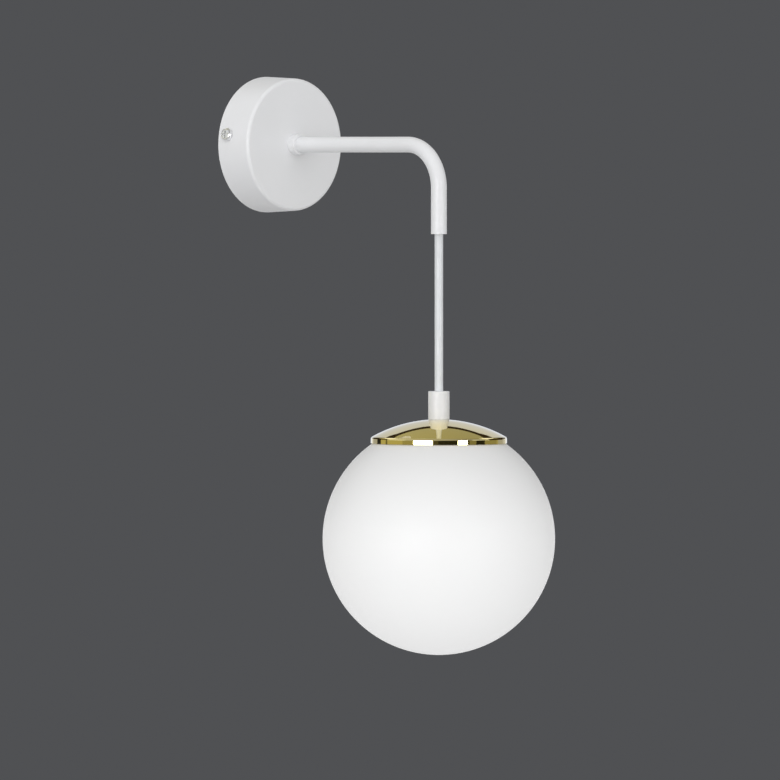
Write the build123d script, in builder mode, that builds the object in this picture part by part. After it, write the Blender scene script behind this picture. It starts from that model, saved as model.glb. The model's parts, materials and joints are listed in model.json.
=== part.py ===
from build123d import *
import math
import os

# Globe wall sconce. A round canopy hides a bracket on the wall and carries a bent tube arm.
# A pendant hangs from the arm's tip on its own cord: a cord grip, a domed metal cap that
# holds an opal glass globe on spring clips, and a lampholder with its screw-in lamp.
#
# Sizes are in mm. The origin is the canopy's centre on the wall plane, +Z is up, +Y goes
# into the wall, and the arm runs out along -Y at z = 0. The pendant's axis is vertical.

os.makedirs("parts", exist_ok=True)

# ---- Driving dimensions ----------------------------------------------------------------

thread_gap = 0.03           # radial gap between a screw's shank and its tapped hole
slip_gap = 0.1              # radial gap round what is slipped in by hand

canopy_back_r = 41.4
canopy_front_r = 40.3
canopy_depth = 24.6
canopy_sheet = 1.0
canopy_edge_r = 2.0
bracket_turn = 8.5          # degrees that the side screws' line is turned from level
side_screw_out = 7.4        # side screws' distance from the wall

strap_sheet = 1.5
strap_width = 16.0
strap_raise = 3.0           # how far the strap's middle stands off the wall
strap_end = 38.8            # outer face of the bent-up end tabs, from the centre
tab_height = 14.0
joggle_inner = 17.0
joggle_outer = 20.0
wall_hole_at = 28.5
wall_hole_r = 2.25
cable_hole_r = 6.0
earth_screw_at = 11.6
ear_width = 20.0
ear_top = 28.0

tube_r = 4.75
tube_bore_r = 3.75
arm_reach = 148.0
arm_bend_r = 26.0
arm_tip_z = -53.8
collar_r = 6.4
collar_height = 5.0
collar_edge_r = 0.6
arm_nut_height = 3.0
nut_across_flats = 14.0
washer_sheet = 0.8
tube_end_out = 18.6         # inner end of the tube, from the wall

cord_r = 2.55
core_r = 0.9
core_offset = 1.2
cord_end_out = 11.4         # where the cord's sheath ends inside the canopy
cord_exit_length = 6.0      # the first bit of free cord, which bends one way
free_drop = 94.65           # free cord from the arm's tip to the grip

grip_r = 6.4
grip_height = 17.25
cap_rim_r = 41.0
cap_sphere_r = 82.5
cap_seat_r = 7.5
cap_sheet = 0.7
cap_band = 3.45
cap_corner_r = 1.6
nipple_r = 4.9
nipple_bore_r = 3.5
carrier_sheet = 1.0
carrier_hub_r = 12.0
carrier_arm_r = 22.3
carrier_arm_width = 10.0
clip_sheet = 0.5
clip_width = 7.0
rivet_circle_r = 18.0
rivet_r = 1.5

globe_r = 70.0
globe_wall = 3.0
globe_z = -237.25
globe_mouth = 58.8          # mouth plane above the globe's centre

lamp_r = 22.5
lamp_length = 78.0
lamp_cap_r = 6.95
lamp_cap_length = 14.0

# ---- Places worked out from them -------------------------------------------------------

grip_top_z = arm_tip_z - free_drop
cap_seat_z = grip_top_z - grip_height
cap_centre_z = cap_seat_z - math.sqrt(cap_sphere_r**2 - cap_seat_r**2)
cap_band_z = cap_centre_z + math.sqrt(cap_sphere_r**2 - cap_rim_r**2)
cap_rim_z = cap_band_z - cap_band
cap_washer_z = cap_seat_z - cap_sheet
cap_nut_z = cap_washer_z - washer_sheet
carrier_z = cap_nut_z - arm_nut_height
clip_z = carrier_z - carrier_sheet
mouth_z = globe_z + globe_mouth
mouth_r = math.sqrt((globe_r - globe_wall) ** 2 - globe_mouth**2)
holder_z = clip_z
holder_joint_z = holder_z - 18.0
insert_top_z = holder_z - 13.6
insert_low_z = holder_z - 23.8
holder_low_z = holder_z - 45.8
lamp_tip_z = holder_z - 26.0
lamp_thread_z = lamp_tip_z - 4.6
lamp_housing_z = lamp_thread_z - lamp_cap_length
lamp_low_z = lamp_tip_z - lamp_length
lamp_centre_z = lamp_low_z + lamp_r
lamp_joint_z = lamp_centre_z + 12.95

# The canopy's own plane: x runs along the bracket, y across it, z out from the wall.
turn = math.radians(bracket_turn)
plate = Plane(origin=(0, 0, 0), x_dir=(math.cos(turn), 0, -math.sin(turn)), z_dir=(0, -1, 0))
side_view = Plane(origin=(0, 0, 0), x_dir=plate.x_dir, z_dir=-plate.y_dir)
canopy_section = Plane(origin=(0, 0, 0), x_dir=(0, -1, 0), z_dir=(-1, 0, 0))
arm_axis = Axis((0, 0, 0), (0, -1, 0))

pendant_axis = Axis((0, -arm_reach, 0), (0, 0, 1))
pendant_section = Plane(origin=(0, -arm_reach, 0), x_dir=(1, 0, 0), z_dir=(0, -1, 0))


def in_canopy(along, across, out):
    """A point inside the canopy: along the bracket, across it, and out from the wall."""
    return plate.from_local_coords(Vector(along, across, out))


def level(z):
    """A horizontal plane on the pendant's axis."""
    return Plane(origin=(0, -arm_reach, z))


def radial(angle):
    """A vertical plane through the pendant's axis: x runs out from the axis, y is up."""
    a = math.radians(angle)
    return Plane(
        origin=(0, -arm_reach, 0),
        x_dir=(math.cos(a), math.sin(a), 0),
        z_dir=(math.sin(a), -math.cos(a), 0),
    )


def on_sphere(z, radius, centre_z):
    """A sphere's radius at height z."""
    return math.sqrt(radius**2 - (z - centre_z) ** 2)


# ---- Pieces that are used more than once -----------------------------------------------


def pan_screw(seat, head_r, head_height, shank_r, shank_length):
    """A cross-recessed pan head screw. The seat is under the head, its z axis points out."""
    slot_length, slot_width, slot_depth = head_r * 1.15, head_r * 0.28, head_height * 0.6
    with BuildPart() as screw:
        with BuildSketch(seat):
            Circle(head_r)
        extrude(amount=head_height)
        top = screw.faces().sort_by(Axis(seat.origin, seat.z_dir))[-1]
        fillet(top.edges(), head_height * 0.55)
        with BuildSketch(seat.offset(head_height)):
            Rectangle(slot_length, slot_width)
            Rectangle(slot_width, slot_length)
        extrude(amount=-slot_depth, mode=Mode.SUBTRACT)
        with BuildSketch(seat):
            Circle(shank_r)
        extrude(amount=-shank_length)
    return screw.part


def slotted_screw(seat, screw_r, length):
    """A headless screw with a slot, from its outer end at the seat down its own axis."""
    with BuildPart() as screw:
        with BuildSketch(seat):
            Circle(screw_r)
        extrude(amount=-length)
        with BuildSketch(seat):
            Rectangle(screw_r * 2.4, screw_r * 0.35)
        extrude(amount=-length * 0.25, mode=Mode.SUBTRACT)
    return screw.part


def lock_washer(seat, bore_r, outer_r, teeth=14):
    """A thin ring with teeth round its outer edge."""
    notch = outer_r * 0.2
    with BuildPart() as washer:
        with BuildSketch(seat):
            Circle(outer_r)
            Circle(bore_r, mode=Mode.SUBTRACT)
            with PolarLocations(outer_r, teeth):
                Rectangle(notch * 1.6, notch, mode=Mode.SUBTRACT)
        extrude(amount=washer_sheet)
    return washer.part


def hex_nut(seat, height, bore_r):
    """A hexagon nut whose corners are turned off."""
    corner_r = nut_across_flats / 2 / math.cos(math.pi / 6)
    with BuildPart() as nut:
        with BuildSketch(seat):
            RegularPolygon(nut_across_flats / 2, 6, major_radius=False)
            Circle(bore_r, mode=Mode.SUBTRACT)
        extrude(amount=height)
        with BuildSketch(seat):
            Circle(corner_r * 0.975)
        extrude(amount=height, mode=Mode.INTERSECT)
    return nut.part


def rod_along(points, bend_r, rod_r):
    """A round rod along straight runs that tangent arcs join."""
    with BuildPart() as rod:
        with BuildLine() as route:
            FilletPolyline(*points, radius=bend_r)
        with BuildSketch(Plane(origin=points[0], z_dir=Vector(points[1]) - Vector(points[0]))):
            Circle(rod_r)
        sweep(path=route.wires()[0])
    return rod.part


def turned(*outline):
    """A solid turned about the pendant's axis, from its (radius, height) outline."""
    with BuildPart() as solid:
        with BuildSketch(pendant_section):
            with BuildLine():
                Polyline(*outline, close=True)
            make_face()
        revolve(axis=pendant_axis)
    return solid.part


def save(piece, name):
    """Label a finished piece and write it to its own file."""
    piece.part.label = name
    export_step(piece.part, f"parts/{name}.step")


# ---- Wall bracket ----------------------------------------------------------------------

strap_front = strap_raise + strap_sheet
tab_at = strap_end - strap_sheet / 2
earth_screw_r = 2.0
side_screw_r = 2.0
block_screw_at = 4.0
block_screw_r = 1.25
block_middle = 19.0

with BuildPart() as wall_bracket:
    with BuildSketch(side_view):
        with BuildLine():
            FilletPolyline(
                (-tab_at, tab_height),
                (-tab_at, strap_sheet / 2),
                (-joggle_outer, strap_sheet / 2),
                (-joggle_inner, strap_raise + strap_sheet / 2),
                (joggle_inner, strap_raise + strap_sheet / 2),
                (joggle_outer, strap_sheet / 2),
                (tab_at, strap_sheet / 2),
                (tab_at, tab_height),
                radius=1.6,
            )
        trace(line_width=strap_sheet)
    extrude(amount=strap_width / 2, both=True)
    tab_corners = wall_bracket.edges().filter_by(Axis((0, 0, 0), plate.x_dir))
    fillet(tab_corners.group_by(Axis((0, 0, 0), plate.z_dir))[-1], 3.0)
    with BuildSketch(plate.offset(strap_raise)):
        with Locations((0, ear_top / 2)):
            RectangleRounded(ear_width, ear_top, 2.5)
    extrude(amount=strap_sheet)
    with BuildSketch(plate):
        Circle(cable_hole_r)
        with Locations((wall_hole_at, 0), (-wall_hole_at, 0)):
            Circle(wall_hole_r)
        with Locations((earth_screw_at, 0)):
            Circle(earth_screw_r + thread_gap)
        with Locations((block_screw_at, block_middle)):
            Circle(block_screw_r + thread_gap)
    extrude(amount=strap_front + 1, mode=Mode.SUBTRACT)
    with BuildSketch(Plane(origin=in_canopy(0, 0, side_screw_out), z_dir=plate.x_dir)):
        Circle(side_screw_r + thread_gap)
    extrude(amount=strap_end + 1, both=True, mode=Mode.SUBTRACT)
save(wall_bracket, "wall_bracket")

# The protective earth's screw stands on the strap, over a toothed washer and a ring lug.
lug_sheet = 0.8
lug_out = strap_front + washer_sheet
lug_r = 3.7
lug_tail_length = 8.4
lug_tail_width = 2.6
earth_washer_r = 4.0

with BuildPart() as earth_washer:
    seat = Plane(in_canopy(earth_screw_at, 0, strap_front), z_dir=plate.z_dir)
    add(lock_washer(seat, earth_screw_r + slip_gap, earth_washer_r))
save(earth_washer, "earth_washer")

with BuildPart() as earth_lug:
    with BuildSketch(plate.offset(lug_out)):
        with Locations((earth_screw_at, 0)):
            Circle(lug_r)
            Rectangle(lug_tail_width, lug_tail_length, align=(Align.CENTER, Align.MIN))
            Circle(earth_screw_r + slip_gap, mode=Mode.SUBTRACT)
    extrude(amount=lug_sheet)
save(earth_lug, "earth_lug")

with BuildPart() as earth_screw:
    seat = Plane(in_canopy(earth_screw_at, 0, lug_out + lug_sheet), z_dir=plate.z_dir)
    add(pan_screw(seat, 3.5, 2.4, earth_screw_r, 4.8))
save(earth_screw, "earth_screw")

# ---- Canopy and its two side screws ----------------------------------------------------

with BuildPart() as canopy:
    with BuildSketch(canopy_section):
        with BuildLine():
            FilletPolyline(
                (0, canopy_back_r),
                (canopy_depth, canopy_front_r),
                (canopy_depth, tube_r + slip_gap),
                radius=canopy_edge_r,
            )
            Line((canopy_depth, tube_r + slip_gap), (canopy_depth - canopy_sheet, tube_r + slip_gap))
            FilletPolyline(
                (canopy_depth - canopy_sheet, tube_r + slip_gap),
                (canopy_depth - canopy_sheet, canopy_front_r - canopy_sheet),
                (0, canopy_back_r - canopy_sheet),
                radius=canopy_edge_r - canopy_sheet,
            )
            Line((0, canopy_back_r - canopy_sheet), (0, canopy_back_r))
        make_face()
    revolve(axis=arm_axis)
    with BuildSketch(Plane(origin=in_canopy(0, 0, side_screw_out), z_dir=plate.x_dir)):
        Circle(side_screw_r + 2 * slip_gap)
    extrude(amount=canopy_back_r + 1, both=True, mode=Mode.SUBTRACT)
save(canopy, "canopy")

side_screw_seat = canopy_back_r - 0.15
side_screw_head_r = 3.9
side_screw_head_height = 2.2
with BuildPart() as canopy_screws:
    for side in (1, -1):
        outward = plate.x_dir * side
        seat = Plane(in_canopy(side * side_screw_seat, 0, side_screw_out), z_dir=outward)
        add(pan_screw(seat, side_screw_head_r, side_screw_head_height, side_screw_r, 6.0))
save(canopy_screws, "canopy_screws")

# ---- Arm -------------------------------------------------------------------------------

arm_corner = (0, -arm_reach, 0)
arm_tip = (0, -arm_reach, arm_tip_z)

with BuildPart() as arm_tube:
    add(rod_along([(0, -tube_end_out, 0), arm_corner, arm_tip], arm_bend_r, tube_r))
    add(
        rod_along([(0, -tube_end_out, 0), arm_corner, arm_tip], arm_bend_r, tube_bore_r),
        mode=Mode.SUBTRACT,
    )
save(arm_tube, "arm_tube")

with BuildPart() as arm_collar:
    with BuildSketch(Plane(origin=(0, -canopy_depth, 0), z_dir=(0, -1, 0))):
        Circle(collar_r)
        Circle(tube_r + thread_gap, mode=Mode.SUBTRACT)
    extrude(amount=collar_height)
    outer_edge = arm_collar.faces().sort_by(arm_axis)[-1].edges().sort_by(SortBy.RADIUS)[-1]
    fillet(outer_edge, collar_edge_r)
save(arm_collar, "arm_collar")

arm_washer_out = canopy_depth - canopy_sheet
with BuildPart() as arm_washer:
    add(lock_washer(Plane((0, -arm_washer_out, 0), z_dir=(0, 1, 0)), tube_r + thread_gap, 8.2))
save(arm_washer, "arm_washer")

with BuildPart() as arm_nut:
    seat = Plane((0, washer_sheet - arm_washer_out, 0), z_dir=(0, 1, 0))
    add(hex_nut(seat, arm_nut_height, tube_r + thread_gap))
save(arm_nut, "arm_nut")

# A plastic bush lines the cut end of the tube, so that the cord swings on a rounded mouth.
bush_length = 7.0
with BuildPart() as tube_end_bush:
    with BuildSketch(level(arm_tip_z)):
        Circle(tube_bore_r)
        Circle(cord_r + 0.2, mode=Mode.SUBTRACT)
    extrude(amount=bush_length)
    mouth_edges = tube_end_bush.faces().sort_by(Axis.Z)[0].edges().sort_by(SortBy.RADIUS)
    fillet(mouth_edges[0], 0.75)
save(tube_end_bush, "tube_end_bush")

# ---- Cord inside the arm, its stop and the terminals -----------------------------------

with BuildPart() as cord_in_arm:
    add(rod_along([(0, -cord_end_out, 0), arm_corner, arm_tip], arm_bend_r, cord_r))
save(cord_in_arm, "cord_in_arm")

# The stop is clamped on the cord behind the tube's end, and carries the pendant's weight.
stop_r = 6.5
stop_length = 6.0
stop_screw_r = 1.6
with BuildPart() as cord_stop:
    with BuildSketch(plate.offset(tube_end_out - stop_length)):
        Circle(stop_r)
        Circle(cord_r + thread_gap, mode=Mode.SUBTRACT)
    extrude(amount=stop_length)
    chamfer(cord_stop.edges().filter_by(GeomType.CIRCLE).sort_by(SortBy.RADIUS)[-2:], 0.5)
    stop_middle = in_canopy(0, 0, tube_end_out - stop_length / 2)
    with BuildSketch(Plane(origin=stop_middle, z_dir=-plate.y_dir)):
        Circle(stop_screw_r + thread_gap)
    extrude(amount=stop_r + 1, mode=Mode.SUBTRACT)
save(cord_stop, "cord_stop")

with BuildPart() as cord_stop_screw:
    screw_end = in_canopy(0, -stop_r + 0.2, tube_end_out - stop_length / 2)
    add(slotted_screw(Plane(screw_end, z_dir=-plate.y_dir), stop_screw_r, stop_r - cord_r - 0.25))
save(cord_stop_screw, "cord_stop_screw")

# The terminal block stands on the bracket's ear: three poles, two screws in each.
pole_pitch = 8.0
poles = (-pole_pitch, 0.0, pole_pitch)
block_size = (24.4, 16.0, 12.0)
block_low = block_middle - block_size[1] / 2
wire_out = strap_front + 3.7
sleeve_r = 2.3
sleeve_length = 13.0
sleeve_bore_r = 1.5
pole_screw_r = 1.4
pole_screw_step = 4.2
pole_shaft_r = 1.9
pole_valley = 2.4
valley_depth = 4.5
block_screw_seat = strap_front + block_size[2] - valley_depth
block_screw_head_r = 2.1

with BuildPart() as terminal_block:
    with BuildSketch(plate.offset(strap_front)):
        with Locations((0, block_middle)):
            Rectangle(block_size[0], block_size[1])
    extrude(amount=block_size[2])
    with BuildSketch(plate.offset(strap_front + block_size[2])):
        with Locations((pole_pitch / 2, block_middle), (-pole_pitch / 2, block_middle)):
            Rectangle(pole_valley, block_size[1])
    extrude(amount=-valley_depth, mode=Mode.SUBTRACT)
    with BuildSketch(Plane(in_canopy(0, block_low, wire_out), x_dir=plate.x_dir, z_dir=plate.y_dir)):
        with Locations(*[(pole, 0) for pole in poles]):
            Circle(sleeve_r + thread_gap)
    extrude(amount=block_size[1], mode=Mode.SUBTRACT)
    with BuildSketch(plate.offset(strap_front + block_size[2])):
        for pole in poles:
            with Locations((pole, block_middle - pole_screw_step), (pole, block_middle + pole_screw_step)):
                Circle(pole_shaft_r)
    extrude(amount=-(strap_front + block_size[2] - wire_out), mode=Mode.SUBTRACT)
    with BuildSketch(plate.offset(strap_front)):
        with Locations((block_screw_at, block_middle), (-block_screw_at, block_middle)):
            Circle(block_screw_r + thread_gap)
    extrude(amount=block_size[2], mode=Mode.SUBTRACT)
    with BuildSketch(plate.offset(block_screw_seat)):
        with Locations((block_screw_at, block_middle), (-block_screw_at, block_middle)):
            Circle(block_screw_head_r + slip_gap)
    extrude(amount=valley_depth, mode=Mode.SUBTRACT)
save(terminal_block, "terminal_block")

sleeve_low = block_middle - sleeve_length / 2
with BuildPart() as terminal_sleeves:
    with BuildSketch(Plane(in_canopy(0, sleeve_low, wire_out), x_dir=plate.x_dir, z_dir=plate.y_dir)):
        with Locations(*[(pole, 0) for pole in poles]):
            Circle(sleeve_r)
            Circle(sleeve_bore_r, mode=Mode.SUBTRACT)
    extrude(amount=sleeve_length)
    with BuildSketch(plate.offset(wire_out)):
        for pole in poles:
            with Locations((pole, block_middle - pole_screw_step), (pole, block_middle + pole_screw_step)):
                Circle(pole_screw_r + thread_gap)
    extrude(amount=sleeve_r + 1, mode=Mode.SUBTRACT)
save(terminal_sleeves, "terminal_sleeves")

pole_screw_out = wire_out + 6.2
with BuildPart() as terminal_screws:
    for pole in poles:
        for step in (-pole_screw_step, pole_screw_step):
            seat = Plane(in_canopy(pole, block_middle + step, pole_screw_out), z_dir=plate.z_dir)
            add(slotted_screw(seat, pole_screw_r, pole_screw_out - wire_out - core_r - 0.05))
save(terminal_screws, "terminal_screws")

with BuildPart() as block_screw:
    seat = Plane(in_canopy(block_screw_at, block_middle, block_screw_seat), z_dir=plate.z_dir)
    add(pan_screw(seat, block_screw_head_r, 1.4, block_screw_r, block_screw_seat - strap_raise + 1.0))
save(block_screw, "block_screw")

# The cord's two cores run from its cut end to the first two poles, the earth to the third.
core_end = block_low + 4.0
core_bend_r = 1.7
core_turn = 6.6
with BuildPart() as live_core:
    route = [
        in_canopy(-core_offset, 0, cord_end_out),
        in_canopy(-core_offset, 0, wire_out),
        in_canopy(poles[0], core_turn, wire_out),
        in_canopy(poles[0], core_end, wire_out),
    ]
    add(rod_along(route, core_bend_r, core_r))
save(live_core, "live_core")

with BuildPart() as neutral_core:
    route = [
        in_canopy(core_offset, 0, cord_end_out),
        in_canopy(core_offset, 0, wire_out),
        in_canopy(poles[1], core_turn, wire_out),
        in_canopy(poles[1], core_end, wire_out),
    ]
    add(rod_along(route, core_bend_r, core_r))
save(neutral_core, "neutral_core")

earth_core_out = lug_out + lug_sheet + core_r
with BuildPart() as earth_core:
    route = [
        in_canopy(poles[2], core_end, wire_out),
        in_canopy(poles[2], 9.8, wire_out),
        in_canopy(earth_screw_at, 8.0, earth_core_out),
        in_canopy(earth_screw_at, 4.4, earth_core_out),
    ]
    add(rod_along(route, 1.2, core_r))
save(earth_core, "earth_core")

# ---- Free cord: a first short length under the arm's tip, then the drop ----------------

cord_split_z = arm_tip_z - cord_exit_length
with BuildPart() as cord_exit:
    with BuildSketch(level(cord_split_z)):
        Circle(cord_r)
    extrude(amount=cord_exit_length)
save(cord_exit, "cord_exit")

with BuildPart() as cord_drop:
    with BuildSketch(level(grip_top_z)):
        Circle(cord_r)
    extrude(amount=cord_split_z - grip_top_z)
save(cord_drop, "cord_drop")

# ---- Cord grip on top of the cap -------------------------------------------------------

grip_thread_top = grip_top_z - 7.5
grip_screw_z = grip_top_z - 3.9
grip_screw_r = 2.0
with BuildPart() as cord_grip:
    with BuildSketch(level(cap_seat_z)):
        Circle(grip_r)
    extrude(amount=grip_height)
    chamfer(cord_grip.edges(), 0.25)
    with BuildSketch(level(grip_top_z)):
        Circle(cord_r + slip_gap)
    extrude(amount=-grip_height, mode=Mode.SUBTRACT)
    with BuildSketch(level(cap_seat_z)):
        Circle(nipple_r + thread_gap)
    extrude(amount=grip_thread_top - cap_seat_z, mode=Mode.SUBTRACT)
    with BuildSketch(Plane(origin=(0, -arm_reach, grip_screw_z), z_dir=(0, 1, 0))):
        Circle(grip_screw_r + thread_gap)
    extrude(amount=grip_r + 1, mode=Mode.SUBTRACT)
save(cord_grip, "cord_grip")

with BuildPart() as cord_grip_screw:
    seat = Plane((0, grip_r - 0.15 - arm_reach, grip_screw_z), z_dir=(0, 1, 0))
    add(slotted_screw(seat, grip_screw_r, grip_r - 0.15 - cord_r - 0.05))
save(cord_grip_screw, "cord_grip_screw")

# ---- Domed cap -------------------------------------------------------------------------

inner_rim_r = cap_rim_r - cap_sheet
inner_sphere_r = cap_sphere_r - cap_sheet
inner_band_z = cap_centre_z + math.sqrt(inner_sphere_r**2 - inner_rim_r**2)
middle_r = 0.6 * cap_rim_r
outer_middle_z = cap_centre_z + math.sqrt(cap_sphere_r**2 - middle_r**2)
inner_middle_z = cap_centre_z + math.sqrt(inner_sphere_r**2 - middle_r**2)
inner_seat_r = math.sqrt(inner_sphere_r**2 - (cap_washer_z - cap_centre_z) ** 2)
cap_hole_r = nipple_r + slip_gap

with BuildPart() as shade_cap:
    with BuildSketch(pendant_section) as cap_outline:
        with BuildLine():
            Polyline((cap_hole_r, cap_washer_z), (cap_hole_r, cap_seat_z), (cap_seat_r, cap_seat_z))
            ThreePointArc((cap_seat_r, cap_seat_z), (middle_r, outer_middle_z), (cap_rim_r, cap_band_z))
            Polyline(
                (cap_rim_r, cap_band_z),
                (cap_rim_r, cap_rim_z),
                (inner_rim_r, cap_rim_z),
                (inner_rim_r, inner_band_z),
            )
            ThreePointArc(
                (inner_rim_r, inner_band_z), (middle_r, inner_middle_z), (inner_seat_r, cap_washer_z)
            )
            Line((inner_seat_r, cap_washer_z), (cap_hole_r, cap_washer_z))
        make_face()
        outer_corner = cap_outline.vertices().sort_by_distance((cap_rim_r, cap_band_z))[0]
        fillet(outer_corner, cap_corner_r)
        inner_corner = cap_outline.vertices().sort_by_distance((inner_rim_r, inner_band_z))[0]
        fillet(inner_corner, cap_corner_r - cap_sheet)
    revolve(axis=pendant_axis)
save(shade_cap, "shade_cap")

# ---- Threaded tube, nut and the spring clips' carrier under the cap --------------------

nipple_top_z = grip_thread_top - 0.5
nipple_low_z = holder_z - 8.6
with BuildPart() as threaded_nipple:
    with BuildSketch(level(nipple_low_z)):
        Circle(nipple_r)
        Circle(nipple_bore_r, mode=Mode.SUBTRACT)
    extrude(amount=nipple_top_z - nipple_low_z)
save(threaded_nipple, "threaded_nipple")

with BuildPart() as cap_washer:
    add(lock_washer(level(cap_nut_z), nipple_r + thread_gap, 7.3))
save(cap_washer, "cap_washer")

with BuildPart() as cap_nut:
    add(hex_nut(level(carrier_z), arm_nut_height, nipple_r + thread_gap))
save(cap_nut, "cap_nut")

clip_angles = (90, 210, 330)
with BuildPart() as clip_carrier:
    with BuildSketch(level(clip_z)):
        Circle(carrier_hub_r)
        for angle in clip_angles:
            with Locations(Location((0, 0, 0), (0, 0, angle))):
                Rectangle(
                    carrier_arm_r, carrier_arm_width, align=(Align.MIN, Align.CENTER)
                )
        Circle(nipple_r + thread_gap, mode=Mode.SUBTRACT)
        with PolarLocations(rivet_circle_r, len(clip_angles), start_angle=clip_angles[0]):
            Circle(rivet_r + thread_gap, mode=Mode.SUBTRACT)
    extrude(amount=carrier_sheet)
    upright_edges = clip_carrier.edges().filter_by(Axis.Z)
    middle = Vector(0, -arm_reach, clip_z + carrier_sheet / 2)
    fillet([e for e in upright_edges if (e.center() - middle).length > carrier_arm_r - 1], 2.0)
save(clip_carrier, "clip_carrier")

# Each clip runs down through the globe's mouth, out under its edge, and back in as a lead.
clip_flat_z = clip_z - clip_sheet / 2
clip_bend_r = 22.8
clip_hump = (mouth_r + 2.3, mouth_z - 2.7)
clip_toe = (mouth_r - 1.9, mouth_z - 9.4)
with BuildPart() as glass_clips:
    for angle in clip_angles:
        with BuildSketch(radial(angle)):
            with BuildLine():
                FilletPolyline(
                    (carrier_hub_r + 2, clip_flat_z),
                    (clip_bend_r, clip_flat_z),
                    clip_hump,
                    clip_toe,
                    radius=1.2,
                )
            trace(line_width=clip_sheet)
        extrude(amount=clip_width / 2, both=True)
    with BuildSketch(level(clip_z)):
        with PolarLocations(rivet_circle_r, len(clip_angles), start_angle=clip_angles[0]):
            Circle(rivet_r + thread_gap)
    extrude(amount=-2 * clip_sheet, mode=Mode.SUBTRACT)
save(glass_clips, "glass_clips")

rivet_head_r = 2.6
rivet_head_height = 0.8
with BuildPart() as clip_rivets:
    for angle in clip_angles:
        centre = radial(angle).from_local_coords(Vector(rivet_circle_r, 0, 0))
        for seat_z, rise in ((carrier_z, rivet_head_height), (clip_z - clip_sheet, -rivet_head_height)):
            with BuildSketch(Plane(origin=(centre.X, centre.Y, seat_z))):
                Circle(rivet_head_r)
            extrude(amount=rise)
        with BuildSketch(Plane(origin=(centre.X, centre.Y, clip_z - clip_sheet))):
            Circle(rivet_r)
        extrude(amount=carrier_sheet + clip_sheet)
    head_rims = clip_rivets.edges().filter_by(GeomType.CIRCLE).group_by(Axis.Z)
    fillet(head_rims[0] + head_rims[-1], 0.5)
save(clip_rivets, "clip_rivets")

# ---- Cord end and lampholder -----------------------------------------------------------

cord_tail_low_z = nipple_low_z - 0.3
with BuildPart() as cord_tail:
    with BuildSketch(level(cord_tail_low_z)):
        Circle(cord_r)
    extrude(amount=grip_top_z - cord_tail_low_z)
save(cord_tail, "cord_tail")

holder_boss_r = 7.0
holder_dome_r = 13.6
holder_r = 14.0
holder_wall = 1.3
spigot_r = 11.9
insert_r = 10.8
dome_roof_z = nipple_low_z - 0.5
with BuildPart() as holder_dome:
    with BuildSketch(pendant_section):
        with BuildLine():
            Polyline(
                (nipple_r + thread_gap, dome_roof_z),
                (nipple_r + thread_gap, holder_z),
                (holder_boss_r, holder_z),
                (holder_boss_r, holder_z - 3.6),
            )
            ThreePointArc(
                (holder_boss_r, holder_z - 3.6),
                (holder_boss_r + 4.9, holder_z - 5.7),
                (holder_dome_r, holder_z - 10.5),
            )
            Polyline(
                (holder_dome_r, holder_z - 10.5),
                (holder_dome_r, holder_joint_z),
                (spigot_r + slip_gap, holder_joint_z),
                (spigot_r + slip_gap, holder_z - 11.2),
                (10.4, dome_roof_z),
                (nipple_r + thread_gap, dome_roof_z),
            )
        make_face()
    revolve(axis=pendant_axis)
save(holder_dome, "holder_dome")

with BuildPart() as holder_body:
    add(
        turned(
            (insert_r + slip_gap, holder_joint_z + 4.6),
            (spigot_r, holder_joint_z + 4.6),
            (spigot_r, holder_joint_z),
            (holder_r, holder_joint_z),
            (holder_r, holder_low_z),
            (holder_r - holder_wall, holder_low_z),
            (holder_r - holder_wall, holder_joint_z - 1.3),
            (insert_r + slip_gap, holder_joint_z - 1.3),
        )
    )
    fillet(holder_body.edges().group_by(Axis.Z)[0], 0.4)
save(holder_body, "holder_body")

holder_screw_at = 6.8
with BuildPart() as holder_insert:
    add(
        turned(
            (0, insert_top_z),
            (insert_r, insert_top_z),
            (insert_r, holder_joint_z - 1.4),
            (holder_r - holder_wall - slip_gap, holder_joint_z - 1.4),
            (holder_r - holder_wall - slip_gap, insert_low_z),
            (0, insert_low_z),
        )
    )
    with BuildSketch(level(insert_top_z)):
        with Locations((holder_screw_at, 0), (-holder_screw_at, 0)):
            Circle(1.25 + thread_gap)
    extrude(amount=-8, mode=Mode.SUBTRACT)
save(holder_insert, "holder_insert")

with BuildPart() as holder_screws:
    for side in (1, -1):
        seat = Plane(origin=(side * holder_screw_at, -arm_reach, insert_top_z))
        add(pan_screw(seat, 2.4, 1.7, 1.25, 6.0))
save(holder_screws, "holder_screws")

with BuildPart() as holder_leads:
    for side in (1, -1):
        route = [
            (side * core_offset, -arm_reach, cord_tail_low_z),
            (side * core_offset, -arm_reach, cord_tail_low_z - 2.1),
            (side * (holder_screw_at - 2.5), -arm_reach, insert_top_z + core_r),
        ]
        add(rod_along(route, 1.1, core_r - 0.1))
save(holder_leads, "holder_leads")

shell_r = 7.65
shell_bore_r = 7.25
shell_low_z = insert_low_z - 18.5
with BuildPart() as holder_shell:
    add(
        turned(
            (5.0, insert_low_z),
            (shell_r, insert_low_z),
            (shell_r, shell_low_z),
            (shell_bore_r, shell_low_z),
            (shell_bore_r, insert_low_z - 0.4),
            (5.0, insert_low_z - 0.4),
        )
    )
save(holder_shell, "holder_shell")

contact_sheet = 0.35
with BuildPart() as holder_contact:
    with BuildSketch(pendant_section):
        with BuildLine():
            FilletPolyline(
                (-4.4, insert_low_z - contact_sheet / 2),
                (-2.4, insert_low_z - contact_sheet / 2),
                (0.0, lamp_tip_z + 0.3),
                (2.0, lamp_tip_z + 0.9),
                radius=0.5,
            )
        trace(line_width=contact_sheet)
    extrude(amount=1.5, both=True)
save(holder_contact, "holder_contact")

# ---- Glass globe -----------------------------------------------------------------------

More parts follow.
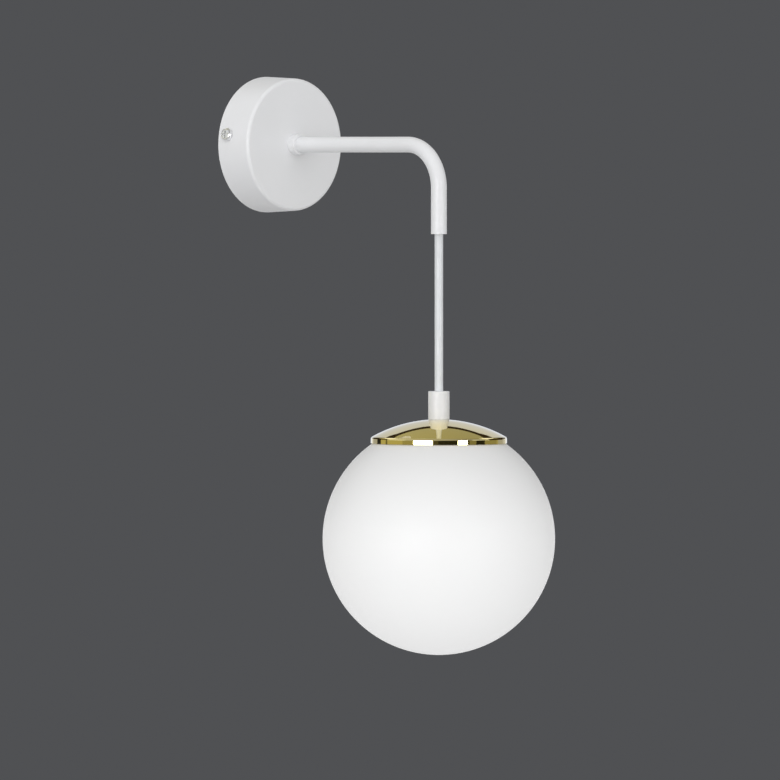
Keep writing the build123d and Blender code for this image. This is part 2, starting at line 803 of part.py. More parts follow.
globe_inner_r = globe_r - globe_wall
with BuildPart() as glass_globe:
    with BuildSketch(pendant_section):
        with BuildLine():
            ThreePointArc(
                (on_sphere(mouth_z, globe_r, globe_z), mouth_z), (globe_r, globe_z), (0, globe_z - globe_r)
            )
            Line((0, globe_z - globe_r), (0, globe_z - globe_inner_r))
            ThreePointArc((0, globe_z - globe_inner_r), (globe_inner_r, globe_z), (mouth_r, mouth_z))
            Line((mouth_r, mouth_z), (on_sphere(mouth_z, globe_r, globe_z), mouth_z))
        make_face()
    revolve(axis=pendant_axis)
save(glass_globe, "glass_globe")

# ---- Screw-in lamp ---------------------------------------------------------------------

with BuildPart() as lamp_tip:
    with BuildSketch(level(lamp_tip_z)):
        Circle(2.9)
    extrude(amount=-1.8)
    fillet(lamp_tip.faces().sort_by(Axis.Z)[-1].edges(), 0.9)
save(lamp_tip, "lamp_tip")

with BuildPart() as lamp_insulator:
    add(
        turned(
            (0, lamp_tip_z - 1.8),
            (3.2, lamp_tip_z - 1.8),
            (6.2, lamp_thread_z),
            (0, lamp_thread_z),
        )
    )
save(lamp_insulator, "lamp_insulator")

lamp_cap_sheet = 0.3
with BuildPart() as lamp_screw_cap:
    with BuildSketch(level(lamp_housing_z)):
        Circle(lamp_cap_r)
    extrude(amount=lamp_cap_length)
    fillet(lamp_screw_cap.faces().sort_by(Axis.Z)[-1].edges(), 0.7)
    with BuildSketch(level(lamp_housing_z)):
        Circle(lamp_cap_r - lamp_cap_sheet)
    extrude(amount=lamp_cap_length - lamp_cap_sheet, mode=Mode.SUBTRACT)
save(lamp_screw_cap, "lamp_screw_cap")

lamp_joint_r = on_sphere(lamp_joint_z, lamp_r, lamp_centre_z)
spigot_top_z = lamp_housing_z + 10.0
lamp_spigot_r = lamp_cap_r - lamp_cap_sheet - 0.05
with BuildPart() as lamp_housing:
    with BuildSketch(pendant_section):
        with BuildLine():
            Polyline(
                (lamp_spigot_r - 1.2, spigot_top_z),
                (lamp_spigot_r, spigot_top_z),
                (lamp_spigot_r, lamp_housing_z),
                (lamp_cap_r + 0.2, lamp_housing_z),
                (lamp_cap_r + 0.2, lamp_housing_z - 2.0),
                (12.0, lamp_housing_z - 5.0),
            )
            ThreePointArc(
                (12.0, lamp_housing_z - 5.0),
                (15.9, lamp_housing_z - 13.5),
                (lamp_joint_r, lamp_joint_z),
            )
            Line((lamp_joint_r, lamp_joint_z), (lamp_joint_r - 1.2, lamp_joint_z))
            ThreePointArc(
                (lamp_joint_r - 1.2, lamp_joint_z),
                (14.7, lamp_housing_z - 13.9),
                (11.0, lamp_housing_z - 6.0),
            )
            Polyline(
                (11.0, lamp_housing_z - 6.0),
                (lamp_spigot_r - 1.2, lamp_housing_z - 2.6),
                (lamp_spigot_r - 1.2, spigot_top_z),
            )
        make_face()
    revolve(axis=pendant_axis)
save(lamp_housing, "lamp_housing")

lamp_wall = 1.0
lamp_inner_r = lamp_r - lamp_wall
with BuildPart() as lamp_envelope:
    with BuildSketch(pendant_section):
        with BuildLine():
            ThreePointArc((lamp_joint_r, lamp_joint_z), (lamp_r, lamp_centre_z), (0, lamp_low_z))
            Line((0, lamp_low_z), (0, lamp_low_z + lamp_wall))
            ThreePointArc(
                (0, lamp_low_z + lamp_wall),
                (lamp_inner_r, lamp_centre_z),
                (on_sphere(lamp_joint_z, lamp_inner_r, lamp_centre_z), lamp_joint_z),
            )
            Line(
                (on_sphere(lamp_joint_z, lamp_inner_r, lamp_centre_z), lamp_joint_z),
                (lamp_joint_r, lamp_joint_z),
            )
        make_face()
    revolve(axis=pendant_axis)
save(lamp_envelope, "lamp_envelope")

board_z = lamp_joint_z + 0.2
board_sheet = 1.2
board_r = 16.4
with BuildPart() as led_board:
    with BuildSketch(level(board_z)):
        Circle(board_r)
    extrude(amount=board_sheet)
save(led_board, "led_board")

with BuildPart() as led_chips:
    with BuildSketch(level(board_z)):
        with PolarLocations(9.5, 8):
            Rectangle(2.8, 2.8)
    extrude(amount=-0.6)
save(led_chips, "led_chips")

print(f"free cord {free_drop:.1f} mm, hanging straight, diameter {2 * cord_r:.1f} mm")
print(f"globe bottom z {globe_z - globe_r:.1f}, reach {arm_reach + globe_r:.1f}")
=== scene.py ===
"""Looks of the globe wall sconce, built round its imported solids.

Everything is in metres, in the part's own frame: the origin is the canopy's centre on the
wall plane, +Z is up, +Y goes into the wall, and the arm runs out along -Y.
"""
import json
import math

import bmesh
import bpy
from mathutils import Matrix, Vector


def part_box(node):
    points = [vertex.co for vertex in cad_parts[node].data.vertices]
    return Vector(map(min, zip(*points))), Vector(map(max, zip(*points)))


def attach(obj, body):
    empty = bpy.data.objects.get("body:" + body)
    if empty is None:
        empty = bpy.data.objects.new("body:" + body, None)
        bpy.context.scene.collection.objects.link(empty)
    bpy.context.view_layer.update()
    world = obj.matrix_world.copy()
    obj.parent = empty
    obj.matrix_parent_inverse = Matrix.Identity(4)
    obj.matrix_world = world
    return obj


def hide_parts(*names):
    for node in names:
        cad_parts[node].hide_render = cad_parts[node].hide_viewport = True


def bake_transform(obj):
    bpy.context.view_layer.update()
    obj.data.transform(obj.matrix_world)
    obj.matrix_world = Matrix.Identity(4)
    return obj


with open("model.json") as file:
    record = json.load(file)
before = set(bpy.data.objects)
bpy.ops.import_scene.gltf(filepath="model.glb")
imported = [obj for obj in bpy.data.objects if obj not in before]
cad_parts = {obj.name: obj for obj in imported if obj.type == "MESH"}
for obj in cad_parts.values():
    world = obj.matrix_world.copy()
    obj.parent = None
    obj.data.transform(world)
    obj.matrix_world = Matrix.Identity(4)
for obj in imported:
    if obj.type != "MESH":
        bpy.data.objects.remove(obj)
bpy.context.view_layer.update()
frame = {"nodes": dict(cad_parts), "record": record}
nodes = frame["nodes"]

# ---- Sizes from the part's source ------------------------------------------------------

ARM_REACH = 0.148
ARM_BEND_R = 0.026
CORD_R = 0.00255
GLOBE_R = 0.070
LAMP_CAP_R = 0.00695
BRACKET_TURN = math.radians(8.5)
CORE_R = 0.0009
WIRE_OUT = 0.0082
POLES = (-0.008, 0.0, 0.008)

# ---- Places from its solids ------------------------------------------------------------


def lowest(node):
    """The height of the solid's lowest point."""
    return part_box(node)[0].z


def highest(node):
    """The height of the solid's highest point."""
    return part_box(node)[1].z


def on_axis(z):
    """A point on the pendant's axis."""
    return Vector((0, -ARM_REACH, z))


def in_canopy(along, across, out):
    """A point inside the canopy: along the bracket, across it, and out from the wall."""
    c, s = math.cos(BRACKET_TURN), math.sin(BRACKET_TURN)
    return Vector((along * c + across * s, -out, across * c - along * s))


ARM_TIP_Z = lowest("arm_tube")
CORD_END_OUT = -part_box("cord_in_arm")[1].y
CORD_SPLIT_Z = highest("cord_drop")
GRIP_TOP_Z = highest("cord_grip")
CORD_TAIL_LOW_Z = lowest("cord_tail")
GLOBE_Z = lowest("glass_globe") + GLOBE_R
LAMP_CAP_TOP_Z = highest("lamp_screw_cap")
LAMP_CAP_LOW_Z = lowest("lamp_screw_cap")

# ---- Finishes --------------------------------------------------------------------------


class Network:
    """A node tree under construction."""

    def __init__(self, tree):
        self.tree = tree

    def fill(self, socket, value):
        """Links the socket to value where that is a socket, and otherwise sets it."""
        if isinstance(value, bpy.types.NodeSocket):
            self.tree.links.new(value, socket)
        else:
            socket.default_value = value

    def add(self, kind, **inputs):
        """A node of that kind, with its named inputs filled."""
        node = self.tree.nodes.new("ShaderNode" + kind)
        for name, value in inputs.items():
            self.fill(node.inputs[name], value)
        return node

    def maths(self, operation, *values, kind="Math", output=0):
        """The result of one operation on numbers, or on vectors with kind VectorMath."""
        node = self.tree.nodes.new("ShaderNode" + kind)
        node.operation = operation
        for socket, value in zip(node.inputs, values):
            self.fill(socket, value)
        return node.outputs[output]

    def mix(self, factor, first, second):
        """The first colour where factor is 0, and the second where it is 1."""
        node = self.tree.nodes.new("ShaderNodeMix")
        node.data_type = "RGBA"
        for name, value in (("Factor", factor), ("A", first), ("B", second)):
            self.fill(node.inputs[name], value)
        return node.outputs["Result"]

    def between(self, factor, low, high, start=0.3, end=0.7):
        """A number that goes from low to high as factor goes from start to end."""
        node = self.add("MapRange", Value=factor)
        limits = {"From Min": start, "From Max": end, "To Min": low, "To Max": high}
        for name, value in limits.items():
            node.inputs[name].default_value = value
        return node.outputs["Result"]

    def ramp(self, factor, stops, interpolation):
        """A grey that follows the stops, which are pairs of a position and a level."""
        node = self.add("ValToRGB", Fac=factor)
        node.color_ramp.interpolation = interpolation
        elements = node.color_ramp.elements
        elements.remove(elements[1])
        for i, (position, level) in enumerate(stops):
            stop = elements.new(position) if i else elements[0]
            stop.position = position
            stop.color = (level, level, level, 1)
        return node.outputs["Color"]


class Finish(Network):
    """A material under construction: its Principled shader and the patterns that feed it."""

    def __init__(self, name, colour, roughness, metallic=0.0):
        self.material = bpy.data.materials.new(name)
        self.material.use_nodes = True
        super().__init__(self.material.node_tree)
        self.shader = self.tree.nodes["Principled BSDF"]
        self.colour = colour
        self.relief = None
        self.set("Base Color", (*colour, 1))
        self.set("Roughness", roughness)
        self.set("Metallic", metallic)

    def set(self, socket, value):
        """Fills that input of the shader."""
        self.fill(self.shader.inputs[socket], value)

    def place(self, stretch=(1, 1, 1), centre=(0, 0, 0)):
        """The piece's own coordinates, counted from centre and multiplied by stretch."""
        shift = self.add("Mapping", Vector=self.add("TexCoord").outputs["Object"])
        shift.inputs["Location"].default_value = [-c * s for c, s in zip(centre, stretch)]
        shift.inputs["Scale"].default_value = stretch
        return shift.outputs["Vector"]

    def noise(self, per_metre, detail=2.0, stretch=(1, 1, 1)):
        """Soft patches, about so many to a metre where stretch is 1."""
        node = self.add("TexNoise", Vector=self.place(stretch), Scale=per_metre, Detail=detail)
        return node.outputs["Fac"]

    def tint(self, factor, other):
        """The base colour goes towards other where factor is high."""
        self.set("Base Color", self.mix(factor, (*self.colour, 1), (*other, 1)))

    def polish(self, factor, low, high):
        """The roughness goes from low to high with factor."""
        self.set("Roughness", self.between(factor, low, high))

    def bump(self, factor, depth):
        """Relief of that depth in metres, added to what is there already."""
        node = self.add("Bump", Height=factor, Distance=depth, Strength=1.0)
        if self.relief is not None:
            self.fill(node.inputs["Normal"], self.relief)
        self.relief = node.outputs["Normal"]
        self.set("Normal", self.relief)


def white_powder_coat():
    """Sprayed and baked: satin, with a slight orange peel and a very fine grain."""
    coat = Finish("white powder coat", (0.84, 0.845, 0.86), 0.38)
    coat.set("Specular IOR Level", 0.45)
    coat.tint(coat.between(coat.noise(35), 0, 1), (0.825, 0.83, 0.845))
    coat.polish(coat.noise(140, 3), 0.34, 0.44)
    coat.bump(coat.noise(620, 1), 0.00002)
    coat.bump(coat.noise(3800, 2), 0.000005)
    return coat.material


def polished_gold():
    """Spun and polished, plated, then lacquered: a mirror with the faintest polishing haze."""
    gold = Finish("polished gold", (0.95, 0.80, 0.36), 0.05, 1.0)
    gold.set("Coat Weight", 1.0)
    gold.set("Coat Roughness", 0.03)
    gold.tint(gold.between(gold.noise(45), 0, 1), (0.93, 0.79, 0.37))
    gold.polish(gold.noise(260, 4), 0.03, 0.07)
    gold.bump(gold.noise(70, 1), 0.00001)
    return gold.material


# Painted glow of the lit glass by its height, in place of the lamp's light coming through it, from
# its lowest point at 0 to its highest at 1.
GLOBE_GLOW = ((0, 0.39), (0.24, 0.335), (0.50, 0.265), (0.66, 0.20), (0.84, 0.10), (1, 0.06))


def opal_glass():
    """Matt-etched opal glass with a painted glow for the lamp's light coming through, most in its
    lower half.
    """
    glass = Finish("matt opal glass", (0.72, 0.72, 0.72), 0.5)
    glass.set("Specular IOR Level", 0.35)
    glass.polish(glass.noise(220, 3), 0.46, 0.54)
    glass.bump(glass.noise(1900, 3), 0.000006)
    place = glass.place((1 / GLOBE_R,) * 3, on_axis(GLOBE_Z))
    height = glass.add("SeparateXYZ", Vector=place).outputs["Z"]
    glow = glass.ramp(glass.between(height, 0, 1, -1, 1), GLOBE_GLOW, "B_SPLINE")
    # Painted glow: the glass emits by its height, standing in for the lamp's light through it.
    glass.set("Emission Color", glow)
    glass.set("Emission Strength", 1.0)
    return glass.material


def bright_nickel():
    """Nickel plate on small screws, a little scratched by the driver."""
    nickel = Finish("bright nickel", (0.90, 0.905, 0.91), 0.30, 1.0)
    nickel.polish(nickel.noise(900, 3), 0.26, 0.34)
    nickel.bump(nickel.noise(2400, 2, (1, 1, 6)), 0.000006)
    return nickel.material


def clear_zinc():
    """Zinc plate: greyish, with faint patches that are bluer or warmer."""
    zinc = Finish("clear zinc", (0.60, 0.625, 0.65), 0.34, 1.0)
    zinc.tint(zinc.between(zinc.noise(90, 2), 0, 1, 0.2, 0.8), (0.645, 0.645, 0.625))
    zinc.polish(zinc.noise(300, 3), 0.30, 0.40)
    zinc.bump(zinc.noise(2200, 3), 0.000006)
    return zinc.material


def lined_metal(name, colour, roughness, stretch):
    """A metal with fine tool lines, which run along the axes where stretch is small."""
    metal = Finish(name, colour, roughness, 1.0)
    lines = metal.noise(700, 3, stretch)
    metal.polish(lines, roughness * 0.8, roughness * 1.3)
    metal.bump(lines, 0.00001)
    return metal.material


def moulded(name, colour, roughness, grain=0.000008):
    """Moulded plastic: a slight sheen, a fine eroded grain and faint flow marks."""
    plastic = Finish(name, colour, roughness)
    plastic.tint(plastic.between(plastic.noise(80), 0, 1), [c * 0.96 for c in colour])
    plastic.polish(plastic.noise(500, 3), roughness * 0.85, roughness * 1.15)
    plastic.bump(plastic.noise(2600, 2), grain)
    return plastic


def black_glass():
    """The lamp cap's poured glass bead."""
    bead = moulded("black glass", (0.012, 0.012, 0.014), 0.12, 0.000003)
    bead.set("Coat Weight", 0.5)
    return bead.material


def diffusing_plastic():
    """The lit lamp's own envelope."""
    envelope = moulded("diffusing plastic", (0.80, 0.80, 0.78), 0.42)
    envelope.set("Emission Color", (1.0, 0.985, 0.95, 1))
    envelope.set("Emission Strength", 0.22)
    return envelope.material


def drawn_pvc(name, colour, roughness=0.36):
    """Extruded PVC: faint draw lines run along it."""
    sheath = Finish(name, colour, roughness)
    sheath.tint(sheath.between(sheath.noise(60), 0, 1), [c * 0.96 for c in colour])
    sheath.polish(sheath.noise(300, 3), roughness * 0.85, roughness * 1.2)
    sheath.bump(sheath.noise(900, 2, (1, 1, 0.06)), 0.00002)
    return sheath


def striped_pvc():
    """The earth core: green, with a yellow stripe on the side that the tube's own map gives."""
    sheath = drawn_pvc("green and yellow PVC", (0.09, 0.30, 0.06))
    across = sheath.add("SeparateXYZ", Vector=sheath.add("UVMap").outputs["UV"]).outputs["Y"]
    stripe = sheath.maths("PINGPONG", across, 0.25)
    sheath.tint(sheath.between(stripe, 0, 1, 0.14, 0.15), (0.80, 0.66, 0.05))
    return sheath.material


finishes = {
    "white_powder_coat": white_powder_coat(),
    "polished_gold": polished_gold(),
    "opal_glass": opal_glass(),
    "nickel_plate": bright_nickel(),
    "zinc_plate": clear_zinc(),
    "spring_steel": lined_metal("spring steel", (0.56, 0.57, 0.59), 0.24, (1, 1, 0.15)),
    "brass": lined_metal("turned brass", (0.74, 0.56, 0.28), 0.26, (0.3, 0.3, 2.5)),
    "lamp_cap_metal": lined_metal("rolled aluminium", (0.80, 0.80, 0.79), 0.3, (0.3, 0.3, 2.5)),
    "white_cord": drawn_pvc("white PVC", (0.755, 0.775, 0.795)).material,
    "brown_insulation": drawn_pvc("brown PVC", (0.16, 0.07, 0.03)).material,
    "blue_insulation": drawn_pvc("blue PVC", (0.04, 0.14, 0.45)).material,
    "green_yellow_insulation": striped_pvc(),
    "clear_nylon": moulded("natural nylon", (0.76, 0.75, 0.71), 0.42).material,
    "white_plastic": moulded("white moulded plastic", (0.80, 0.80, 0.795), 0.38).material,
    "black_glass": black_glass(),
    "opal_plastic": diffusing_plastic(),
}

for part in frame["record"]["subparts"]:
    for slot in nodes[part["node"]].material_slots:
        slot.material = finishes[part["material_slot"]]

# ---- New pieces: shapes that more than one of them uses --------------------------------


def finished(name, mesh, slot, body=None, replaces=(), sharp=None):
    """A scene object round the mesh, in its slot's finish. It is smooth, but for edges that
    turn by more than sharp degrees where that is given."""
    mesh.shade_smooth()
    if sharp is not None:
        mesh.set_sharp_from_angle(angle=math.radians(sharp))
    mesh.materials.clear()
    mesh.materials.append(finishes[slot])
    piece = bpy.data.objects.new(name, mesh)
    bpy.context.scene.collection.objects.link(piece)
    if replaces:
        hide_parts(*replaces)
    if body:
        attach(piece, body)
    return piece


def mesh_from(shape, name):
    """The mesh of a finished bmesh, which is then let go."""
    mesh = bpy.data.meshes.new(name)
    shape.to_mesh(mesh)
    shape.free()
    return mesh


def laid_line(route, steps):
    """A smooth open NURBS curve that the route's points control."""
    curve = bpy.data.curves.new("line", "CURVE")
    curve.dimensions = "3D"
    curve.resolution_u = steps
    spline = curve.splines.new("NURBS")
    spline.points.add(len(route) - 1)
    for point, place in zip(spline.points, route):
        point.co = (*place, 1)
    spline.order_u = 3
    spline.use_endpoint_u = True
    return curve


def plumb_line(top, low, steps):
    """A straight line down the pendant's axis."""
    return laid_line([on_axis(top), on_axis((top + low) / 2), on_axis(low)], steps)


def mesh_of(curve):
    """The mesh that the curve makes: its bare line, or a tube once it has a bevel."""
    holder = bpy.data.objects.new("line", curve)
    mesh = bpy.data.meshes.new_from_object(holder)
    bpy.data.objects.remove(holder)
    return mesh


def tube_mesh(curve, radius):
    """A closed round tube of that radius along the curve."""
    curve.bevel_depth = radius
    curve.bevel_resolution = 6
    curve.use_fill_caps = True
    return mesh_of(curve)


# ---- Cord ------------------------------------------------------------------------------

# The first piece runs along the arm, turns down at its bend and comes out of its mouth. The second
# hangs straight down from there. They meet halfway between the two hinges.
CORD_JOIN_Z = (ARM_TIP_Z + CORD_SPLIT_Z) / 2
# Distances along the arm from its sharp corner: to where the cord's straight stretches end,
# and to the ends of the chamfer that touches the arm's bend.
CORD_STRAIGHT_END = 0.0368
CORD_CORNER_CUT = ARM_BEND_R * (2 - math.sqrt(2))
CORD_IN_GRIP = 0.001


def bend(piece):
    """Bakes the piece's placing into its mesh."""
    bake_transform(piece)


arm_line = laid_line(
    [
        (0, -CORD_END_OUT, 0),
        (0, CORD_STRAIGHT_END - ARM_REACH, 0),
        (0, CORD_CORNER_CUT - ARM_REACH, 0),
        (0, -ARM_REACH, -CORD_CORNER_CUT),
        (0, -ARM_REACH, -CORD_STRAIGHT_END),
        on_axis(CORD_JOIN_Z),
    ],
    steps=32,
)
arm_cord = finished(
    "arm_cord", tube_mesh(arm_line, CORD_R), "white_cord", replaces=("cord_in_arm",)
)
bend(arm_cord)

free_line = plumb_line(CORD_JOIN_Z, GRIP_TOP_Z - CORD_IN_GRIP, steps=96)
free_path = [vertex.co.copy() for vertex in mesh_of(free_line).vertices]
free_cord = finished(
    "free_cord", tube_mesh(free_line, CORD_R), "white_cord", replaces=("cord_exit", "cord_drop")
)
bend(free_cord)

end_line = plumb_line(GRIP_TOP_Z, CORD_TAIL_LOW_Z, steps=8)
finished("cord_end", tube_mesh(end_line, CORD_R), "white_cord", "pendant", ("cord_tail",))

# ---- Cores inside the canopy -----------------------------------------------------------

CORE_OFFSET = 0.0012
CORE_TURN = 0.0066
CORE_END = 0.015
EARTH_SCREW_AT = 0.0116
EARTH_OUT = 0.0070


def core(name, route, slot):
    """An insulated core along its route, in place of the solid of that name."""
    mesh = tube_mesh(laid_line(route, steps=16), CORE_R)
    finished(name + "_wire", mesh, slot, body="fixture", replaces=(name,))


def cord_core(name, side, pole, slot):
    """A core that leaves the cord's cut end on one side and runs up into its pole."""
    core(
        name,
        [
            in_canopy(side * CORE_OFFSET, 0, CORD_END_OUT),
            in_canopy(side * CORE_OFFSET, 0, WIRE_OUT),
            in_canopy(pole, CORE_TURN, WIRE_OUT),
            in_canopy(pole, CORE_END, WIRE_OUT),
        ],
        slot,
    )


cord_core("live_core", -1, POLES[0], "brown_insulation")
cord_core("neutral_core", 1, POLES[1], "blue_insulation")
core(
    "earth_core",
    [
        in_canopy(POLES[2], CORE_END, WIRE_OUT),
        in_canopy(POLES[2], 0.0098, WIRE_OUT),
        in_canopy(EARTH_SCREW_AT, 0.0080, EARTH_OUT),
        in_canopy(EARTH_SCREW_AT, 0.0044, EARTH_OUT),
    ],
    "green_yellow_insulation",
)

# ---- Lamp's screw cap ------------------------------------------------------------------

LAMP_LIP_R = 0.0061
LAMP_CAP_SHEET = 0.0002
THREAD_PITCH = 0.0254 / 9
THREAD_DEPTH = 0.0006
THREAD_LOW_Z = LAMP_CAP_LOW_Z + 0.0022
THREAD_TOP_Z = LAMP_CAP_TOP_Z - 0.0012
THREAD_FADE = 0.3 * THREAD_PITCH
WALL_ROWS, WALL_COLUMNS = 72, 96


def screw_cap():
    """Thin sheet, turned about the lamp's axis, with the round thread rolled into it."""
    shape = bmesh.new()
    low, top, lip = (
        shape.verts.new((radius, -ARM_REACH, z))
        for radius, z in (
            (LAMP_CAP_R, LAMP_CAP_LOW_Z), (LAMP_CAP_R, LAMP_CAP_TOP_Z), (LAMP_LIP_R, LAMP_CAP_TOP_Z)
        )
    )
    wall = shape.edges.new((low, top))
    shape.edges.new((top, lip))
    bmesh.ops.subdivide_edges(shape, edges=[wall], cuts=WALL_ROWS - 1)
    bmesh.ops.spin(
        shape, geom=shape.verts[:] + shape.edges[:], cent=on_axis(0), axis=(0, 0, 1),
        angle=2 * math.pi, steps=WALL_COLUMNS, use_merge=True,
    )
    for vertex in shape.verts:
        out = Vector((vertex.co.x, vertex.co.y + ARM_REACH))
        turn = math.atan2(out.y, out.x) / (2 * math.pi)
        wave = 0.5 - 0.5 * math.cos(2 * math.pi * (vertex.co.z / THREAD_PITCH - turn))
        from_ends = min(vertex.co.z - THREAD_LOW_Z, THREAD_TOP_Z - vertex.co.z)
        fade = min(max(from_ends / THREAD_FADE, 0), 1)
        pressed = out.normalized() * THREAD_DEPTH * wave * fade
        vertex.co -= Vector((pressed.x, pressed.y, 0))
    bmesh.ops.recalc_face_normals(shape, faces=shape.faces[:])
    bmesh.ops.solidify(shape, geom=shape.faces[:], thickness=LAMP_CAP_SHEET)
    return mesh_from(shape, "screw_cap")


finished("rolled_screw_cap", screw_cap(), "lamp_cap_metal", "lamp", ("lamp_screw_cap",), sharp=50)

# ---- Camera and floor ------------------------------------------------------------------

VIEW_AZIMUTH = math.radians(-45)
VIEW_DISTANCE = 6.5
VIEW_AIM = Vector((-0.0208, -0.1272, -0.1477))
VIEW_LENS = 498.3
VIEW_SENSOR = 36
BACK = Vector((math.sin(VIEW_AZIMUTH), -math.cos(VIEW_AZIMUTH), 0))
RIGHT = Vector((math.cos(VIEW_AZIMUTH), math.sin(VIEW_AZIMUTH), 0))
UP = Vector((0, 0, 1))

FLOOR_CENTRE = Vector((0, -0.1, -0.95))
FLOOR_R = 5.0


def add_camera():
    """Far off, level with the arm, at the photograph's angle."""
    rise = math.asin(-VIEW_AIM.z / VIEW_DISTANCE)
    back = BACK * math.cos(rise) + UP * math.sin(rise)
    data = bpy.data.cameras.new("camera")
    data.lens = VIEW_LENS
    data.sensor_width = VIEW_SENSOR
    data.clip_start, data.clip_end = 0.1, 100
    camera = bpy.data.objects.new("camera", data)
    camera.location = VIEW_AIM + back * VIEW_DISTANCE
    camera.rotation_mode = "QUATERNION"
    camera.rotation_quaternion = (-back).to_track_quat("-Z", "Y")
    bpy.context.scene.collection.objects.link(camera)
    bpy.context.scene.camera = camera


def floor_paper():
    """Pale paper, clear to a camera underneath it."""
    paper = Finish("pale floor", (0.78, 0.78, 0.78), 0.8)
    paper.tint(paper.between(paper.noise(1.5), 0, 1), (0.765, 0.765, 0.77))
    underneath = paper.add("NewGeometry").outputs["Backfacing"]
    clear = paper.maths("MULTIPLY", underneath, paper.add("LightPath").outputs["Is Camera Ray"])
    paper.set("Alpha", paper.maths("SUBTRACT", 1.0, clear))
    return paper.material


def add_floor():
    """A round pale floor, well below the globe."""
    shape = bmesh.new()
    bmesh.ops.create_circle(
        shape, cap_ends=True, segments=128, radius=FLOOR_R, matrix=Matrix.Translation(FLOOR_CENTRE)
    )
    mesh = mesh_from(shape, "studio_floor")
    mesh.materials.append(floor_paper())
    floor = bpy.data.objects.new("studio_floor", mesh)
    bpy.context.scene.collection.objects.link(floor)


# ---- Light and reflections -------------------------------------------------------------

# The soft light that paint and glass take: a broad front light over an even fill.
KEY_TURN = math.radians(-6)
KEY_LEVEL = 1.28
FILL_LEVEL = 0.38

# What polished metal reflects. The room is lighter on the left than on the right, and warmer
# on the half behind the object. All angles below are in degrees.
ROOM_LEVEL, ROOM_SLOPE = 0.38, -0.16
CEILING_TINT = (0.96, 0.905, 0.54)

# A ring round the horizon, by azimuth from the camera's side: two lit panels beside the
# camera, and the darker room between and beyond them. What isn't lit is warmer, but not
# near straight behind.
RING_TOP, RING_LOW = 7.0, -7.0
RING_PEAK = 10.0
ROOM_RING = (
    (-180, 0.75), (-150, 0.38), (-130, 0.02), (-117, 0.46), (-103, 0.14), (-99, 0.45), (-65, 0.32),
    (-44, RING_PEAK), (-12, 0.07), (-2, 0.02), (32, RING_PEAK), (48, 0.05), (53, 0.22), (65, 0.02),
    (84, 0.28), (114, 0.37), (138, 0.5), (150, 0.75),
)
RING_TINT = (0.94, 0.86, 0.38)
RING_TINT_END = 60.0

# Patches of the room, each over those before it: how far off straight behind it starts and
# ends, on both sides alike, its lowest and highest elevation, and its shade.
GAP_WIDTH = 30.0
DARK = (0.03, 0.02, 0.01, 1)
ROOM_PATCHES = (
    # A small high lamp.
    ((GAP_WIDTH, 75), (36, 50), (1.2, 1.2, 1.2, 1)),
    # A pale screen.
    ((55, 120), (-40, 22), (0.92, 0.95, 0.98, 1)),
    # A dark bench under the lamp.
    ((GAP_WIDTH, 80), (RING_LOW, 27), DARK),
    # The dark gap round the cloth, with the ceiling over it.
    ((-1, GAP_WIDTH), (RING_LOW, 39.2), DARK),
)

# A pale cloth hangs in the gap: how high it reaches, by how far off straight behind. It is
# cooler at its foot, on the horizon.
CLOTH_TOPS = ((0, 33.6), (10, 34.6), (14, 34.4), (17, 29), (19, 8), (GAP_WIDTH, -20))
CLOTH_SHADE = (0.59, 0.60, 0.62, 1)
CLOTH_FOOT = (0.86, 0.90, 1.0, 1)
CLOTH_FOOT_TOP = 18.0

BACKDROP_SHADE = (0.080, 0.082, 0.087, 1)


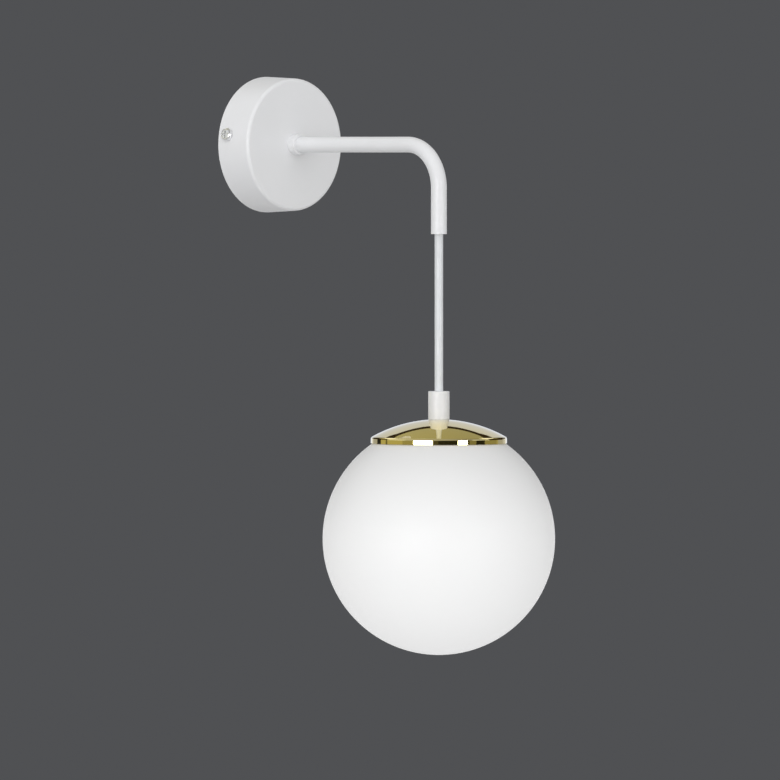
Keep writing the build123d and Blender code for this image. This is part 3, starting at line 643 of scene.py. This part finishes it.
class Studio(Network):
    """The world under construction, with the angles of a ray that its shades go by."""

    def __init__(self, tree):
        super().__init__(tree)
        self.direction = self.add("TexCoord").outputs["Generated"]
        self.front = self.towards(BACK)
        self.side = self.towards(RIGHT)
        self.elevation = self.maths("DEGREES", self.maths("ARCSINE", self.towards(UP)))
        self.azimuth = self.maths("DEGREES", self.maths("ARCTAN2", self.side, self.front))
        self.off_back = self.maths("SUBTRACT", 180.0, self.maths("ABSOLUTE", self.azimuth))

    def towards(self, axis):
        """How much of the ray's direction is along the axis, from -1 to 1."""
        return self.maths("DOT_PRODUCT", self.direction, axis, kind="VectorMath", output=1)

    def within(self, value, low, high):
        """1 where the value lies between low and high, otherwise 0."""
        above = self.maths("GREATER_THAN", value, low)
        return self.maths("MULTIPLY", above, self.maths("LESS_THAN", value, high))

    def tinted(self, level, factor, tint):
        """The grey of that level, tinted where the factor is 1."""
        warm = self.maths("MULTIPLY", level, tint, kind="VectorMath")
        return self.mix(factor, level, warm)

    def soft_light(self):
        """The light that paint and glass take."""
        key = BACK * math.cos(KEY_TURN) + RIGHT * math.sin(KEY_TURN)
        facing = self.maths("MAXIMUM", self.towards(key), 0.0)
        return self.maths("MULTIPLY_ADD", facing, KEY_LEVEL, FILL_LEVEL)

    def bare_room(self):
        """The room with nothing in it."""
        level = self.maths("MULTIPLY_ADD", self.side, ROOM_SLOPE, ROOM_LEVEL)
        return self.tinted(level, self.maths("LESS_THAN", self.front, 0.0), CEILING_TINT)

    def ring(self):
        """The ring round the horizon."""
        stops = [(degrees / 360 + 0.5, level / RING_PEAK) for degrees, level in ROOM_RING]
        turn = self.maths("MULTIPLY_ADD", self.azimuth, 1 / 360, 0.5)
        level = self.maths("MULTIPLY", self.ramp(turn, stops, "CONSTANT"), RING_PEAK)
        unlit = self.maths("LESS_THAN", level, 1.0)
        near = self.maths("GREATER_THAN", self.off_back, RING_TINT_END)
        return self.tinted(level, self.maths("MULTIPLY", unlit, near), RING_TINT)

    def cloth_top(self):
        """How high the cloth reaches. The ramp holds an elevation of -90 as 0 and 90 as 1."""
        stops = [(degrees / GAP_WIDTH, (top + 90) / 180) for degrees, top in CLOTH_TOPS]
        share = self.maths("MULTIPLY", self.off_back, 1 / GAP_WIDTH)
        return self.maths("MULTIPLY_ADD", self.ramp(share, stops, "LINEAR"), 180.0, -90.0)

    def reflected_room(self):
        """All that polished metal reflects, each layer over the one before it."""
        room = self.bare_room()
        for (near, far), (low, top), shade in ROOM_PATCHES:
            beside = self.within(self.off_back, near, far)
            inside = self.maths("MULTIPLY", beside, self.within(self.elevation, low, top))
            room = self.mix(inside, room, shade)
        room = self.mix(self.within(self.elevation, RING_LOW, RING_TOP), room, self.ring())
        height = self.between(self.elevation, 0, 1, 0, CLOTH_FOOT_TOP)
        cloth = self.mix(height, CLOTH_FOOT, CLOTH_SHADE)
        return self.mix(self.maths("LESS_THAN", self.elevation, self.cloth_top()), room, cloth)


def add_world():
    """Soft light for paint and glass, a room for metal to reflect, and an even mid grey for
    the camera to see behind the object."""
    world = bpy.data.worlds.new("studio")
    bpy.context.scene.world = world
    world.use_nodes = True
    studio = Studio(world.node_tree)
    ray = studio.add("LightPath").outputs
    shade = studio.mix(ray["Is Glossy Ray"], studio.soft_light(), studio.reflected_room())
    shade = studio.mix(ray["Is Camera Ray"], shade, BACKDROP_SHADE)
    studio.fill(studio.tree.nodes["Background"].inputs["Color"], shade)


add_camera()
add_floor()
add_world()
bpy.context.scene.view_settings.view_transform = "Standard"
